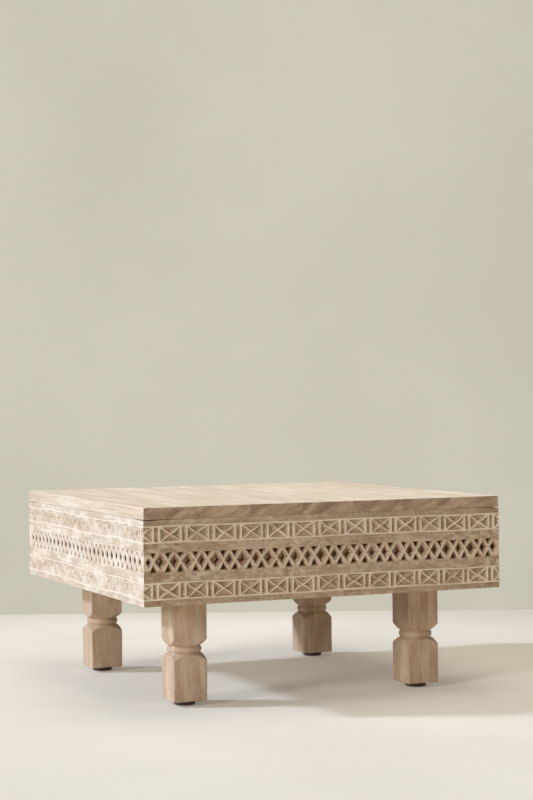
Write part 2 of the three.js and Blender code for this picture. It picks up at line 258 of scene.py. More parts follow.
def wood(name, pale, brown, wash, wash_share, pore_share, roughness, spread=0.08, gloss=0.2,
         soften=0.0, flecks=0.0, stretch=1.0, carving=None, sawn=False, ends=None):
    """Limed wood whose grain runs along the piece's own x axis."""
    s = Shade(bpy.data.materials.new(name))
    place = s.node("TexCoord", out=3)
    board = s.node("Attribute", out=2, attribute_name="board")
    lot = s.node("TexWhiteNoise", {"W": board}, out=1, noise_dimensions="1D")
    moved = s.vector("MULTIPLY_ADD", lot, (3.0, 0.14, 0.1), place)

    rings = growth_rings(s, moved)
    streaks = s.noise(moved, (9.0 / stretch, 210.0, 210.0), 4.0, 0.62)
    fine = s.noise(moved, (30.0, 700.0, 700.0), 2.0, 0.55)
    clouds = s.noise(moved, (8.0 / stretch, 38.0, 38.0), 4.0, 0.6)
    pores = s.step(s.noise(moved, (55.0, 1500.0, 1500.0), 1.0), 0.6, 0.72)
    tone = s.total(s.times(streaks, 0.65), s.times(rings, 0.04), s.times(fine, 0.3),
                   s.times(clouds, 0.9))

    darkest, palest = tone_range
    colour = s.mix(s.step(tone, darkest - soften, palest + soften), srgb(brown), srgb(pale))
    colour = s.mix(s.times(s.step(clouds, 0.48, 0.66), wash_share), colour, srgb(wash))
    shade = s.times(s.node("SeparateColor", {0: lot}, out=1), 2 * spread, 1 - spread)
    colour = s.mix(1.0, colour, s.node("CombineColor", {0: shade, 1: shade, 2: shade}), "MULTIPLY")
    colour = s.mix(s.times(pores, pore_share), colour, srgb(pore_brown))
    if flecks:
        specks = s.noise(moved, fleck_scale, 4.0, 0.75)
        colour = s.mix(s.step(specks, 0.52, 0.66, 0.0, flecks), colour, srgb(wash))
    height = s.total(s.times(fine, 0.6), s.times(streaks, 0.8))
    height = s.less(height, s.times(pores, 0.5))
    if sawn:
        marks = s.noise(moved, (700.0, 6.0, 6.0), 1.0)
        height = s.total(height, s.times(marks, 1.5))
        colour = s.mix(s.step(marks, 0.5, 0.75, 0.0, 0.25), colour, srgb(sawn_brown))
    if ends:
        colour = end_grain(s, moved, rings, tone, colour, ends)
    if carving:
        colour = carved_colour(s, place, moved, board, colour, **carving)
        height = s.total(height, s.noise(moved, (260.0, 500.0, 170.0), 2.0))
    bump = s.node("Bump", {"Strength": 0.7, "Distance": 0.0004, "Height": height})
    return s.finish(s.node("BsdfPrincipled", {
        "Base Color": colour, "Roughness": s.times(clouds, 0.2, roughness - 0.1),
        "Normal": bump, "Specular IOR Level": gloss}))


def place_on_board(s, place, board, wave):
    """Depth into a carved board, and height up it as a share, with its borders' sway undone."""
    x, deep, z = (s.times(s.node("SeparateXYZ", {0: place}, out=i), 1 / MM) for i in range(3))
    phase = s.times(s.less(board, 1.0), wave_phase)
    sway = 0.0
    for length, turns, share in border_sway:
        angle = s.times(phase, turns, s.math("DIVIDE", x, length))
        sway = s.times(s.math("SINE", angle), share * wave, sway)
    calm = s.share(s.less(wave_end, s.size(x)), wave_fade)
    shallow = s.less(1.0, s.math("DIVIDE", deep, wave_depth), clamp=True)
    near_edge = s.share(s.math("MINIMUM", z, s.less(apron_height, z)), edge_strip)
    sway = s.times(s.times(sway, s.times(calm, shallow)), near_edge)
    return deep, s.math("DIVIDE", s.less(z, sway), apron_height)


def by_zone(s, up, strength, strip, band, lattice, rim=None):
    """Greys for the plain strips, the carved bands, the lattice and the outer strips, by height."""
    rim = strip if rim is None else rim
    starts = (0.0, edge_strip, edge_strip + band_height, edge_strip + band_height + middle_strip)
    starts = [start / apron_height for start in starts]
    stops = [*zip(starts, (rim, band, strip, lattice)),
             (1 - starts[3], strip), (1 - starts[2], band), (1 - starts[1], rim)]
    made = s.node("ValToRGB", {0: up})
    ramp = made.node.color_ramp
    ramp.interpolation = "CONSTANT"
    while len(ramp.elements) < len(stops):
        ramp.elements.new(1.0)
    for element, (start, value) in zip(ramp.elements, stops):
        element.position = start
        element.color = [value * strength] * 3 + [1]
    return made


def limed_and_stained(s, colour, moved, up, patch, contrast, stained, patches):
    """Lime left in patches, brown stain by zone, and pale flecks."""
    lime = s.noise(moved, [value * patches for value in (34.0, 75.0, 75.0)], 4.0, 0.7)
    lime = s.times(s.step(lime, 0.5, 0.68), 0.15 + 0.3 * contrast)
    colour = s.mix(lime, colour, srgb(lime_grey))
    stain = s.times(s.step(patch, 0.34, 0.62), by_zone(s, up, 1.0, *stained))
    rim = s.times(s.step(patch, 0.25, 0.5), by_zone(s, up, contrast, 0.0, 0.0, 0.0, rim=0.8))
    colour = s.mix(s.math("MAXIMUM", stain, rim), colour, srgb(stain_brown))
    fleck = s.step(s.noise(moved, fleck_scale, 4.0, 0.75), 0.5, 0.62)
    return s.mix(s.times(fleck, by_zone(s, up, contrast, 0.4, 0.25, 0.35)), colour,
                 srgb(fleck_pale))


def shade_hollows(s, colour, place, below, contrast):
    """Cuts painted darker below the face as shade in the hollows, with the pale scratches of the
    knife.
    """
    uneven = s.noise(place, (48.0, 48.0, 48.0), 2.0)
    hollow = s.times(s.step(uneven, 0.3, 0.7, 0.26, 0.6), contrast)
    # Painted shade: browner as a cut goes deeper below the face
    colour = s.mix(s.times(s.step(below, 0.3, 1.8), hollow), colour, srgb(hollow_shade_brown))
    scratch = s.noise(place, (330.0, 120.0, 330.0), 4.0, 0.65)
    scratch = s.times(s.step(scratch, 0.5, 0.64), s.step(below, 0.6, 1.6))
    return s.mix(s.times(scratch, 0.6 * contrast), colour, srgb(scratch_pale))


def worn_and_lit_ridges(s, colour, up, aside, below, patch, contrast, lines, worn_and_lit_crests):
    """Ridges, edges, crossings and borders made pale: partly wear, partly a painted highlight."""
    crossing = s.step(aside, 12.0, 22.0, 1.0, 0.0)
    # Pale ledges and crests: partly wear, partly painted highlight
    edge = s.times(s.step(below, 0.05, 0.4), s.step(below, 0.5, 1.6, 1.0, 0.0))
    flat = s.step(below, 0.05, 0.6, 1.0, 0.0)
    crest_highlight = s.times(s.times(flat, crossing), by_zone(s, up, contrast, 0.0, 0.0, 0.6))
    wear_and_highlight = s.total(s.times(flat, by_zone(s, up, contrast, 0.0, 1.0, 0.0)),
                   s.times(edge, by_zone(s, up, contrast, 0.25, 0.3, 0.38)))
    wear_and_highlight = s.math("ADD", wear_and_highlight, crest_highlight, clamp=True)
    shallow = s.step(below, 0.6, 1.2, 1.0, 0.0)
    for middle in border_middles:
        off = s.size(s.less(aside, middle))
        wear_and_highlight = s.math("MAXIMUM", wear_and_highlight, s.times(s.step(off, 1.0, 2.4, lines, 0.0), shallow))
    return s.mix(s.times(wear_and_highlight, s.step(patch, 0.25, 0.55, 0.5, 1.0)), colour, srgb(worn_and_lit_crests))


def carved_colour(s, place, moved, board, colour, contrast, stained, patches, lines, wave,
                  worn_and_lit_crests, dark, opening_shade_from):
    """Ridges pale from wear and painted highlight, hollows and openings painted darker as shade, by
    height on the board and depth.
    """
    plain = colour
    deep, up = place_on_board(s, place, board, wave)
    # A zone's grey can't pass 1, so the recess is halved in it
    recess = s.times(by_zone(s, up, 1.0, strip_recess / 2, 0.0, strip_recess / 2), 2.0)
    below = s.less(deep, recess)
    aside = s.size(s.times(s.less(up, 0.5), apron_height))
    patch = s.noise(moved, [value * patches for value in (60.0, 110.0, 110.0)], 3.0, 0.6)
    colour = limed_and_stained(s, colour, moved, up, patch, contrast, stained, patches)
    colour = shade_hollows(s, colour, place, below, contrast)
    colour = worn_and_lit_ridges(s, colour, up, aside, below, patch, contrast, lines, worn_and_lit_crests)
    # Painted shade deep inside the lattice's openings, where little light gets in
    in_lattice = s.step(aside, 25.0, 27.0, 1.0, 0.0)
    inside = s.times(s.step(deep, opening_shade_from, opening_shade_from + 3.0), in_lattice)
    colour = s.mix(inside, colour, srgb(dark))
    return s.mix(s.step(deep, apron_thickness - 1.2, apron_thickness - 0.4), colour, plain)


metal = {"grain": 900.0, "patches": 60.0, "low": 0.4, "share": 0.35, "dull": 0x8a8174,
         "relief": 0.3, "spread": 0.3, "metallic": 1.0}
plastic = {"grain": 1400.0, "patches": 90.0, "low": 0.45, "share": 0.3, "dull": 0x5a5148,
           "relief": 0.5, "spread": 0.25, "metallic": 0.0}


def grained(name, colour, roughness, grain, patches, low, share, dull, relief, spread, metallic):
    """Metal or plastic with a fine grain, dulled in patches."""
    s = Shade(bpy.data.materials.new(name))
    place = s.node("TexCoord", out=3)
    fine = s.noise(place, (grain, grain, grain), 2.0)
    patch = s.noise(place, (patches, patches, patches), 3.0)
    tint = s.mix(s.step(patch, low, low + 0.3, 0.0, share), srgb(colour), srgb(dull))
    bump = s.node("Bump", {"Strength": relief, "Distance": 0.0001, "Height": fine})
    return s.finish(s.node("BsdfPrincipled", {
        "Base Color": tint, "Metallic": metallic, "Normal": bump,
        "Roughness": s.times(patch, spread, roughness - 0.4 * spread)}))


# The top's pale face is partly painted light: paler than the carved boards as the lit top, with its
# edges and ends in darker colours
top_wood = wood("washed_and_lit_top_wood", 0xe9dac6, 0xcdb79c, 0xeae0d0, 0.35, 0.25, 0.58,
                spread=0.04, gloss=0.35, stretch=2.2, soften=0.05,
                ends=(0x8b705a, 0xbba188, 0xb9a38b, 0xd9cab5))
# The front and back boards: the carved wood painted darker and with stronger contrast, as in shade
carved_wood = wood(
    "shaded_carved_wood", 0xcfb99f, 0xa1856b, 0xc6bba5, 0.35, 0.35, 0.72,
    carving={"contrast": 1.0, "stained": (1.0, 0.25, 0.85), "patches": 0.8, "lines": 0.8,
             "wave": front_wave, "worn_and_lit_crests": 0xe2d1bb, "dark": 0x77593f, "opening_shade_from": 5.6})
# The left and right boards: the same carved wood painted paler and with less contrast, as in
# sunlight
sunlit_carved_wood = wood(
    "sunlit_carved_wood", 0xe1d5c5, 0xc8b49d, 0xe0d8ca, 0.35, 0.3, 0.72,
    carving={"contrast": 0.32, "stained": (0.5, 0.3, 0.25), "patches": 0.25, "lines": 0.5,
             "wave": side_wave, "worn_and_lit_crests": 0xeee4d6, "dark": 0x5c3c22, "opening_shade_from": 3.6})
leg_wood = wood("washed_leg_wood", 0xcbb39a, 0xa88c72, 0xd6c6b0, 0.25, 0.35, 0.66,
                spread=0.02, soften=0.12, flecks=0.5)
finishes = {
    "top_wood": top_wood,
    "carved_wood": carved_wood,
    "leg_wood": leg_wood,
    "frame_wood": wood("sawn_frame_wood", 0xd8bd98, 0xb7946f, 0xd9cab0, 0.15, 0.5, 0.8, sawn=True),
    "zinc_steel": grained("zinc_plate", 0xbfc2c4, 0.38, **metal),
    "insert_brass": grained("dull_brass", 0xb08d4f, 0.42, **metal),
    "glide_plastic": grained("dark_moulding", 0x3a2f27, 0.55, **plastic),
}

# Making pieces

UPRIGHT = Matrix(((0, 1, 0, 0), (0, 0, 1, 0), (1, 0, 0, 0), (0, 0, 0, 1)))  # own x points up
ACROSS = Matrix.Identity(4)  # own x along the table's x
INWARD = Matrix.Rotation(math.pi / 2, 4, "Z")  # own x along the table's y
board_number = iter(range(1, 200))


def at(x, y, z, turn=ACROSS):
    """A placement in metres from a place in millimetres."""
    return Matrix.Translation(Vector((x, y, z)) * MM) @ turn


def shell(rings, closed=True):
    """Points and faces of a skin over rings of as many points each."""
    count = len(rings[0])
    points = [p for ring in rings for p in ring]
    faces = []
    for i in range(len(rings) - 1):
        a, b = i * count, (i + 1) * count
        faces += [(a + j, a + (j + 1) % count, b + (j + 1) % count, b + j) for j in range(count)]
    if closed:
        last = len(points) - count
        faces.append(tuple(reversed(range(count))))
        faces.append(tuple(range(last, last + count)))
    return points, faces


def joined(parts):
    """Several skins as one."""
    points, faces = [], []
    for more, sides in parts:
        first = len(points)
        points += more
        faces += [tuple(first + i for i in face) for face in sides]
    return points, faces


def linked(name, data):
    """A new object in the scene."""
    obj = bpy.data.objects.new(name, data)
    bpy.context.scene.collection.objects.link(obj)
    return obj


def plain_object(name, skin):
    points, faces = skin
    mesh = bpy.data.meshes.new(name)
    mesh.from_pydata([Vector(p) * MM for p in points], [], faces)
    tidy = bmesh.new()
    tidy.from_mesh(mesh)
    bmesh.ops.recalc_face_normals(tidy, faces=tidy.faces)
    tidy.to_mesh(mesh)
    tidy.free()
    return linked(name, mesh)


def settled(obj):
    """Applies an object's modifiers to its mesh."""
    graph = bpy.context.evaluated_depsgraph_get()
    mesh = bpy.data.meshes.new_from_object(obj.evaluated_get(graph))
    obj.modifiers.clear()
    old, obj.data = obj.data, mesh
    mesh.name = obj.name
    bpy.data.meshes.remove(old)


def carve(obj, *tools):
    """Cuts each tool in turn out of the object, and removes the tools."""
    for tool in tools:
        modifier = obj.modifiers.new("cut", "BOOLEAN")
        modifier.operation = "DIFFERENCE"
        modifier.solver = "MANIFOLD"
        modifier.object = tool
        settled(obj)
        bpy.data.objects.remove(tool)


def dress(obj, slot, nodes, placement=ACROSS, body="table", sharp=35.0, material=None):
    """Gives a finished mesh its shading and its place, ties it to its body, and hides the nodes it
    takes the place of.
    """
    mesh = obj.data
    mesh.materials.clear()
    mesh.materials.append(material or finishes[slot])
    mesh.shade_smooth()
    mesh.set_sharp_from_angle(angle=math.radians(sharp))
    number = next(board_number)
    values = mesh.attributes.new("board", "FLOAT", "POINT")
    values.data.foreach_set("value", [float(number)] * len(mesh.vertices))
    weighted = obj.modifiers.new("normals", "WEIGHTED_NORMAL")
    weighted.keep_sharp = True
    weighted.mode = "FACE_AREA"
    settled(obj)
    obj.matrix_world = placement
    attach(obj, body)
    if nodes:
        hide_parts(*nodes)


def piece(name, skin, slot, nodes, placement=ACROSS, body="table", sharp=35.0):
    dress(plain_object(name, skin), slot, nodes, placement, body, sharp)


def extent(node):
    """Middle and size of a node of the frame, in millimetres."""
    low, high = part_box(node)
    return (low + high) / 2 / MM, (high - low) / MM


def rounded_outline(corners, radius, step):
    """A convex outline with its corners rounded and its sides cut into steps."""
    count = len(corners)
    points = []
    for i in range(count):
        here = Vector(corners[i])
        following = Vector(corners[(i + 1) % count])
        before = (Vector(corners[i - 1]) - here).normalized()
        after = (following - here).normalized()
        onward = (Vector(corners[(i + 2) % count]) - following).normalized()
        half_angle = before.angle(after) / 2
        next_half = (-after).angle(onward) / 2
        back = radius / math.tan(half_angle)
        middle = here + (before + after).normalized() * (radius / math.sin(half_angle))
        start = here + before * back - middle
        sweep = math.pi - 2 * half_angle
        for j in range(4):
            points.append(tuple(middle + Matrix.Rotation(sweep * j / 3, 2) @ start))
        start_side = here + after * back
        end_side = following - after * (radius / math.tan(next_half))
        pieces = max(1, round((end_side - start_side).length / step))
        points += [tuple(start_side.lerp(end_side, j / pieces)) for j in range(1, pieces)]
    return points


def rectangle(half_width, half_height):
    return [(-half_width, -half_height), (half_width, -half_height),
            (half_width, half_height), (-half_width, half_height)]


def bar(outline_for, length, ease, step, wave=0.0, seed=0.0):
    """A bar along x whose cross-section is outline_for(inset), with its ends rounded."""
    half = length / 2
    ends = [(0.0, ease), (0.3 * ease, 0.3 * ease), (ease, 0.0)]
    pieces = max(1, round((length - 2 * ease) / step))
    columns = [(-half + d, inset) for d, inset in ends]
    columns += [(-half + ease + (length - 2 * ease) * i / pieces, 0.0) for i in range(1, pieces)]
    columns += [(half - d, inset) for d, inset in reversed(ends)]
    rings = []
    for x, inset in columns:
        ring = []
        for y, z in outline_for(inset):
            dip = wave * (0.5 + 0.5 * noise.noise(Vector((x / 90, y / 30 + seed, z / 30))))
            shrink = 1 - dip / math.hypot(y, z)
            ring.append((x, y * shrink, z * shrink))
        rings.append(ring)
    return shell(rings)


def lathe(profile, sides):
    """Round rings along x, from (height, radius)."""
    angles = [2 * math.pi * i / sides for i in range(sides)]
    return [[(x, radius * math.cos(a), radius * math.sin(a)) for a in angles]
            for x, radius in profile]


def upright(spot, profile, sides):
    """A skin turned about an upright axis at a spot."""
    x, y = spot
    return shell([[(x + a, y + b, z) for z, a, b in ring] for ring in lathe(profile, sides)])


def screws(name, spots, face, placement):
    """Countersunk screws driven up into wood, each with a cross recess."""
    profile = [(face, screw_head - 0.3), (face + 0.3, screw_head), (face + 2.5, screw_shank),
               (face + 12.0, screw_shank)]
    heads = plain_object(name, joined([upright(spot, profile, 20) for spot in spots]))
    arm, slit = 2.4, 0.45
    plus = [(arm, -slit), (arm, slit), (slit, slit)]
    for quarter in range(3):
        plus += [(-y, x) for x, y in plus[-3:]]
    recesses = []
    for i, (x, y) in enumerate(spots):
        turn = Matrix.Rotation(0.7 * i, 2)
        corners = [turn @ Vector(corner) for corner in plus]
        recesses.append(shell([[(x + c.x * share, y + c.y * share, z) for c in corners]
                               for z, share in ((face - 1.0, 1.0), (face, 1.0), (face + 1.6, 0.6))]))
    carve(heads, plain_object("tool", joined(recesses)))
    dress(heads, "zinc_steel", [], placement)


def plank(name, node, turn, slot, ease=1.2, step=60.0, wave=0.25, bolts=(), driven=()):
    """A plank that fills a box-shaped node, its grain along its own x."""
    middle, size = extent(node)
    length, width, thickness = (abs(v) for v in turn.to_3x3().transposed() @ size)
    half_width, half_thickness = width / 2, thickness / 2
    full = rounded_outline(rectangle(half_width, half_thickness), ease, 16.0)

    def outline(inset):
        return [(y * (1 - inset / half_width), z * (1 - inset / half_thickness)) for y, z in full]

    skin = bar(outline, length, ease, step, wave, len(name) + middle.x + middle.y / 7)
    board = plain_object(name, skin)
    placement = at(*middle, turn)
    through = [(-half_thickness - 2, bolt_hole), (half_thickness + 2, bolt_hole)]
    face = 0.4 - half_thickness
    seat = [(face - 2, screw_head + 0.2), (face + 0.3, screw_head + 0.15),
            (face + 2.6, screw_shank + 0.15), (face + 13.0, screw_shank + 0.15)]
    tools = [upright(spot, through, 32) for spot in bolts]
    tools += [upright(spot, seat, 20) for spot in driven]
    if tools:
        carve(board, plain_object("tool", joined(tools)))
    if driven:
        screws(f"screws_of_{node}", driven, face, placement)
    dress(board, slot, [node], placement)


# Carved boards: x along the board, y from its face into the wood, z up from its bottom edge


def warp(x, y, z, seed):
    """The slight wave of a hand-cut board, none at its ends."""
    calm = min(1.0, max(0.0, (wave_end - abs(x)) / wave_fade))
    shallow = max(0.0, 1 - y / wave_depth)
    inward = face_wave * (0.5 + 0.5 * noise.noise(Vector((x / 45, z / 28, seed))))
    lift = sum(share * math.sin(x / length + times * wave_phase * seed)
               for length, times, share in border_sway)
    lift *= side_wave if seed % 2 else front_wave
    lift *= max(0.0, min(1.0, z / edge_strip, (apron_height - z) / edge_strip))
    return x, y + calm * shallow * inward, z + calm * shallow * lift


def widened(outline, distance):
    """An outline moved outwards by a distance, counterclockwise as seen from outside."""
    count = len(outline)
    points = []
    for i in range(count):
        (ax, az), (bx, bz), (cx, cz) = outline[i - 1], outline[i], outline[(i + 1) % count]
        first = Vector((bz - az, ax - bx)).normalized()
        second = Vector((cz - bz, bx - cx)).normalized()
        mitre = (first + second) / max(0.45, 1 + first.dot(second))
        points.append((bx + mitre.x * distance, bz + mitre.y * distance))
    return points


def mouth(outline, width, level=0.0):
    """The first rings of a cutter: above the wood, and round its edge at a level."""
    wide, close = widened(outline, width * 1.1), widened(outline, width * 0.5)
    return [[(x, -3.0, z) for x, z in wide],
            [(x, level - 0.06, z) for x, z in wide],
            [(x, level + 0.12 * width, z) for x, z in close]]


def pit(outline, aim, level, levels, width=arris):
    """A cutter with a rounded mouth, then rings of its outline at (share, depth), from aim."""
    rings = mouth(outline, width, level)
    ax, az = aim
    for share, depth in levels:
        rings.append([(ax + (x - ax) * share, level + depth, az + (z - az) * share)
                      for x, z in outline])
    return shell(rings)


def wander(dice, size):
    return dice.uniform(-size, size)


def curved(start, end, shift, count):
    """Points from start up to but not with end, bent by a shift at the middle."""
    return [tuple(a + (b - a) * t + c * (4 * t * (1 - t)) for a, b, c in zip(start, end, shift))
            for t in (i / count for i in range(count))]


def scoop(depth, power):
    """Rings of a chip's hollow, from its edge to nearly a point."""
    return [(share, lip + (depth - lip) * (1 - share ** power))
            for share in (1.0, 0.82, 0.62, 0.4, 0.2, 0.05)]


def crossed_cell(x, z, half_width, half_height, dice):
    """The four chips of one crossed cell, each ridge bent its own way."""
    middle_x = x + dice.uniform(*crossing_drift[0])
    middle_z = z + dice.uniform(*crossing_drift[1])
    diagonal = math.hypot(half_width, half_height)
    ridge = ridge_width * dice.uniform(*ridge_spread)
    up = ridge / 2 * diagonal / half_width
    side = ridge / 2 * diagonal / half_height
    base_x = (half_height - up) * half_width / half_height
    base_z = (half_width - side) * half_height / half_width
    deep_z = up + (half_height - up) * chip_apex_share
    deep_x = side + (half_width - side) * chip_apex_share
    bends = []
    for sx, sz in ((1, 1), (-1, 1), (-1, -1), (1, -1)):
        size = dice.uniform(*steady_bow) if (sx, sz) == (1, -1) else wander(dice, bow)
        bends.append((-sz * half_height / diagonal * size, sx * half_width / diagonal * size))
    up_right, up_left, down_left, down_right = bends
    left, right, bottom, top = x - half_width, x + half_width, z - half_height, z + half_height
    chips = []
    for corners, first_bend, last_bend, aim, (depth, power) in (
        (((middle_x, middle_z + up), (x + base_x, top), (x - base_x, top)),
         up_right, up_left, (0, deep_z), flat_chip),
        (((middle_x, middle_z - up), (x - base_x, bottom), (x + base_x, bottom)),
         down_left, down_right, (low_apex_shift, -deep_z), low_chip),
        (((middle_x + side, middle_z), (right, z - base_z), (right, z + base_z)),
         down_right, up_right, (deep_x, 0), side_chip),
        (((middle_x - side, middle_z), (left, z + base_z), (left, z - base_z)),
         up_left, down_left, (-deep_x, 0), side_chip),
    ):
        point, first, second = ((a + wander(dice, cut_jitter), b + wander(dice, cut_jitter))
                                for a, b in corners)
        outline = (curved(point, first, first_bend, side_points)
                   + curved(first, second, (0.0, 0.0), side_points)
                   + curved(second, point, last_bend, side_points))
        goal = (x + aim[0] + wander(dice, 1.2), z + aim[1] + wander(dice, 0.8))
        hollow = scoop(depth * dice.uniform(*chip_depth_spread), power)
        chips.append(pit(outline, goal, 0.0, hollow))
    return chips


def upright_groove(x, z, half_width, half_height, dice):
    """The groove between the two bars of a pair."""
    lean = wander(dice, 0.4)
    wide = half_width * dice.uniform(0.92, 1.05)
    corners = [(x - wide - lean, z - half_height), (x + wide - lean, z - half_height),
               (x + wide + lean, z + half_height), (x - wide + lean, z + half_height)]
    corners = [(a + wander(dice, 0.3), b) for a, b in corners]
    outline = []
    for i, corner in enumerate(corners):
        bend = (wander(dice, 0.3), 0) if i % 2 else (0, 0)
        outline += curved(corner, corners[(i + 1) % 4], bend, 6 if i % 2 else 3)
    depth = groove_depth * dice.uniform(0.85, 1.1)
    rings = mouth(outline, arris) + [[(a, lip, b) for a, b in outline]]
    for share in (0.75, 0.5, 0.25, 0.06):
        drop = lip + (depth - lip) * (1 - share ** 1.25)
        reach = (half_height - half_width * (1 - share)) / half_height
        rings.append([(x + (a - x) * share, drop, z + (b - z) * reach) for a, b in outline])
    return shell(rings)


def band_tools(bottom, shift, dice):
    """Every cut of one band whose lower edge is at z = bottom, moved along by a shift."""
    pitch = (2 * half_table + 2 * corner_overhang) / bay_count
    start = -half_table - corner_overhang + shift
    z = bottom + band_height / 2
    half_height = band_height / 2 - border_width
    cell_half = (pitch - bar_spacing - bar_width) / 2
    groove_half = (bar_spacing - bar_width) / 2
    tools = []
    for i in range(bay_count + 1):
        tools += crossed_cell(start + i * pitch, z, cell_half, half_height, dice)
    for i in range(bay_count):
        tools.append(upright_groove(start + (i + 0.5) * pitch, z, groove_half, half_height, dice))
    return tools


def cross_places(start, pair_spacing, pitch):
    """The places of the crosses along a lattice."""
    nearest = lattice_margin + waist_half
    places = []
    x = start - pair_spacing
    while x < 2 * half_table:
        places += [x, x + pair_spacing]
        x += pitch
    return [x - half_table for x in places if nearest < x < 2 * half_table - nearest]


def opening(corners, bends, aim, dice, cut, lift, back_share=opening_back_share):
    """A cut right through the board: sloping walls first, then nearly upright ones."""
    corners = [(a + wander(dice, opening_jitter), b + wander(dice, opening_jitter))
               for a, b in corners]
    outline = []
    for i, corner in enumerate(corners):
        bend = [v + wander(dice, 0.3) for v in bends[i]]
        outline += curved(corner, corners[(i + 1) % len(corners)], bend, side_points)
    share = cut["size"] * dice.uniform(0.9, 1.1)
    depth = cut["depth"] * dice.uniform(0.88, 1.12)
    goal = (aim[0] + wander(dice, 1.5), aim[1] + wander(dice, 0.6))
    steps = [(1 + (share - 1) * t, 0.5 * lattice_arris + depth * t ** 1.1)
             for t in (0.0, 0.35, 0.7, 1.0)]
    steps.append((min(share, back_share), apron_thickness + 3))
    points, faces = pit(outline, goal, strip_recess, steps, lattice_arris)
    last = len(points) - len(outline)
    points = points[:last] + [(x, y, z + lift) for x, y, z in points[last:]]
    return points, faces


def lattice_tools(layout, dice, cut):
    """Every opening of one lattice. The first and the last diamonds reach into the mitres."""
    centre = apron_height / 2
    z = centre + cross_rise
    crosses = [(x + wander(dice, 1.0), z + wander(dice, 1.1)) for x in cross_places(**layout)]
    edge = half_table - lattice_margin
    tools = []
    for x, crossing in crosses:
        if abs(x) >= half_table - clear_cross:
            continue
        for way, share, lift, back_share in ((1, 0.88, 0.0, opening_back_share),
                                             (-1, 0.66, low_hole_lift, low_back_share)):
            point = crossing + way * triangle_rise
            base = centre + way * (lattice_height / 2 - triangle_border)
            reach = way * triangle_half_width
            lean = wander(dice, 1.0)
            corners = [(x, point), (x + lean + reach, base), (x + lean - reach, base)]
            bends = [(way * 0.7, -way * 0.4), (0, 0), (-way * 0.7, -way * 0.4)]
            aim = (x, point + (base - point) * share)
            tools.append(opening(corners, bends, aim, dice, cut, lift, back_share))
    lefts = [(-edge, z)] + [(x + waist_half, crossing) for x, crossing in crosses]
    rights = [(x - waist_half, crossing) for x, crossing in crosses] + [(edge, z)]
    for left, right in zip(lefts, rights):
        width = right[0] - left[0]
        if width <= least_diamond:
            continue
        middle = (left[0] + right[0]) / 2 + wander(dice, 0.8)
        rise = diamond_half_height * min(1.0, width / full_diamond)
        corners = [left, (middle, z - rise), right, (middle, z + rise)]
        bends = [(-0.6, -0.4), (0.6, -0.4), (0.6, 0.4), (-0.6, 0.4)]
        tools.append(opening(corners, bends, (middle, z), dice, cut, diamond_lift))
    return tools


def band_profile(low, high):
    """Up the proud face of a carved band, between its two ledges."""
    ledge = 0.7
    return [(low, strip_recess), (low, ledge), (low + 0.2, 0.2), (low + ledge, 0.0),
            (low + band_height / 2, 0.0), (high - ledge, 0.0), (high - 0.2, 0.2),
            (high, ledge), (high, strip_recess)]


def face_profile():
    """(height, depth) up the face of a board, past the incised line in its bottom strip."""
    middle = apron_height / 2
    upper_band = edge_strip + band_height + middle_strip + lattice_height + middle_strip
    return [
        (0.0, strip_recess + 0.8), (0.25, strip_recess + 0.25), (0.8, strip_recess),
        (7.1, strip_recess), (7.5, strip_recess + 0.5), (7.9, strip_recess),
        *band_profile(edge_strip, edge_strip + band_height),
        *((middle + rise, strip_recess) for rise in (-34, 0, 34)),
        *band_profile(upper_band, apron_height - edge_strip),
        (apron_height - 0.8, strip_recess), (apron_height, strip_recess + 0.8)]


def board_blank(seed):
    """The board before carving: its plain strips recessed, its ledges and corners rounded."""
    profile = [(z, y, True) for z, y in face_profile()]
    profile += [(apron_height, apron_thickness, False), (0.0, apron_thickness, False)]
    ends = [(corner_round * along, corner_round * push)
            for along, push in ((0.293, 0.293), (0.62, 0.076), (1.0, 0.0))]
    half = half_table - mitre_gap
    spots = [(-1, distance, push) for distance, push in ends]
    spots += [(i / blank_steps * 2 - 1, end_inset, 0.0) for i in range(1, blank_steps)]
    spots += [(1, distance, push) for distance, push in reversed(ends)]
    rings = []
    for share, distance, push in spots:
        ring = []
        for z, y, carved in profile:
            reach = half - y
            if carved or abs(share) < 1:
                x = share * (reach - distance)
                y += push
            else:
                x = share * reach * (1 if distance == ends[0][0] else 1 - distance / 900)
            if z > apron_height - 1:
                z -= seam_opening * max(0.0, 1 - (half - abs(x)) / seam_reach) ** 2
            ring.append(warp(x, y, z, seed) if carved else (x, y, z))
        rings.append(ring)
    return shell(rings)


def turned_tools(skin, way):
    """A neighbour's cuts in this board's frame."""
    points, faces = skin
    moved = [(-way * (y - half_table), way * x + half_table, z) for x, y, z in points]
    return moved, faces


def reaches(skin, way):
    """Whether a neighbour's cut comes as far as the mitre."""
    places = [p[0] for p in skin[0]]
    limit = half_table - apron_thickness
    return min(places) < -limit if way > 0 else max(places) > limit


def warped(skin, seed):
    points, faces = skin
    return [warp(*p, seed) for p in points], faces


boards = []
for i, side in enumerate(("front", "right", "back", "left")):
    dice = random.Random(40 + i)
    layout = side_crosses if i % 2 else front_crosses
    low = edge_strip
    high = apron_height - edge_strip - band_height
    bands = band_tools(low, 0.0, dice) + band_tools(high, upper_band_shift, dice)
    lattice = lattice_tools(layout, dice, side_opening if i % 2 else front_opening)
    boards.append((side, bands, lattice))

